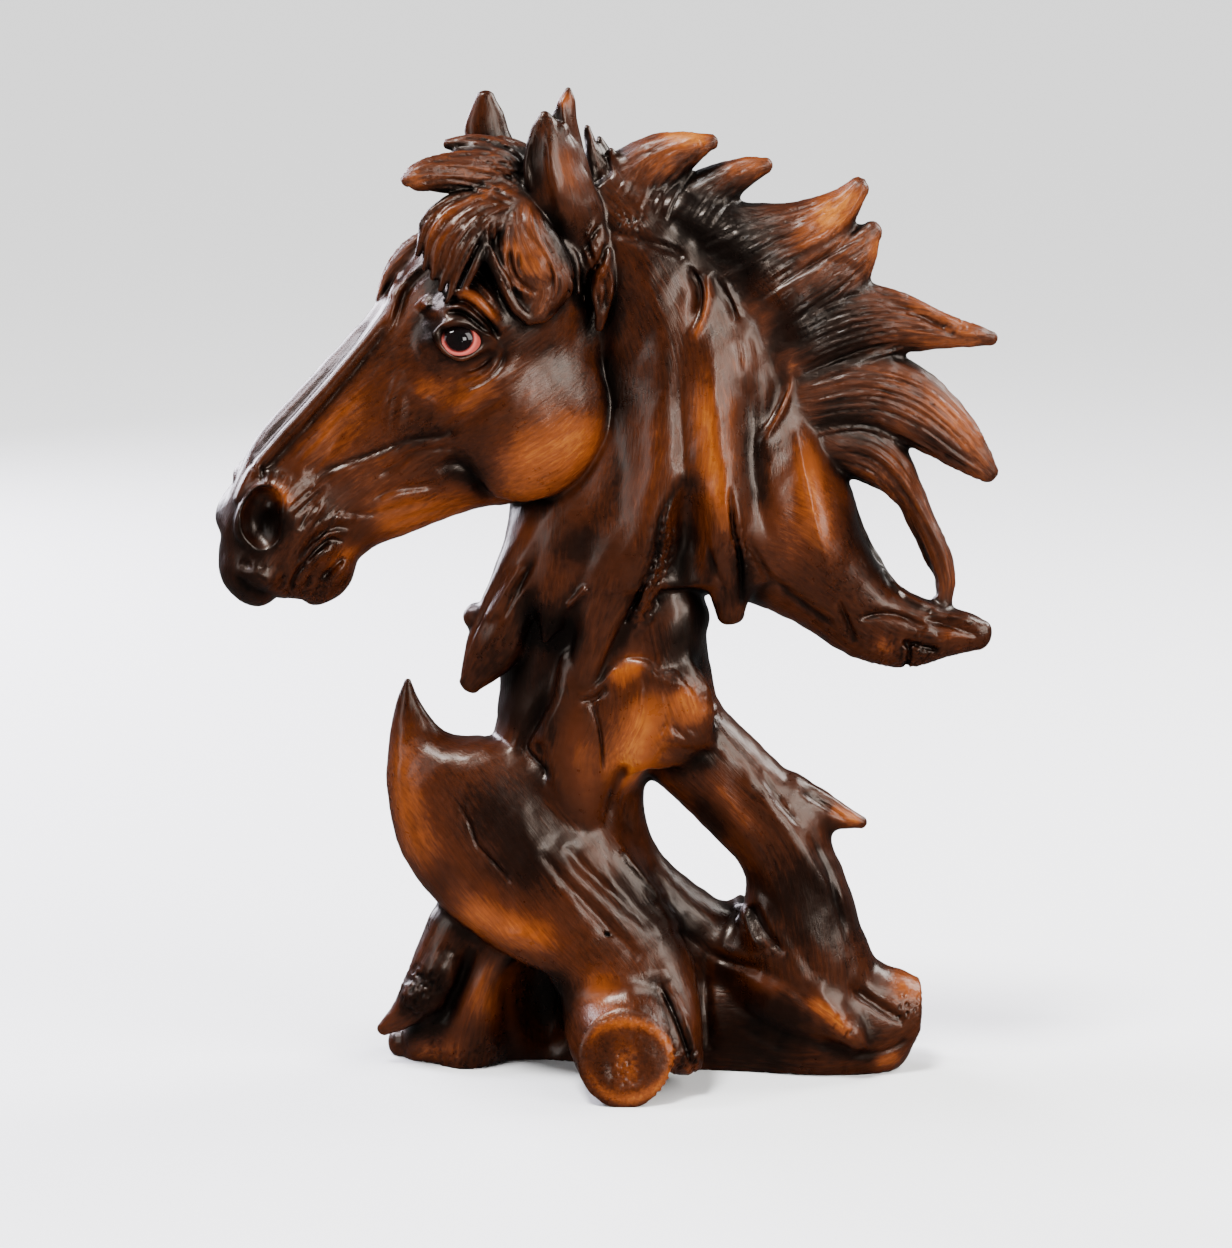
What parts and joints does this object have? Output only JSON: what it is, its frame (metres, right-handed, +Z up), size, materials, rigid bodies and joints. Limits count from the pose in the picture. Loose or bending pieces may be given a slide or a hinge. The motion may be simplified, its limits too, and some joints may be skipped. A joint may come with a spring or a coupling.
{
  "type": "horse head statue",
  "caption": "Tabletop statue of a horse head and flowing mane rising from a driftwood base, cast in one piece and lacquered like carved dark wood.",
  "frame": {"origin": "on the flat underside of the base, below the middle of the driftwood", "axes": "+Z up, the mane streams to +X, the nose points to -X and turns a little to -Y, the side that is seen first"},
  "size_m": [0.294, 0.1127, 0.3778],
  "materials": {
    "lacquered_resin": "glossy dark umber lacquer, worn to amber on raised areas, with painted eyes"
  },
  "bodies": {
    "root": {"horse_head_statue": "lacquered_resin"}
  },
  "joints": []
}
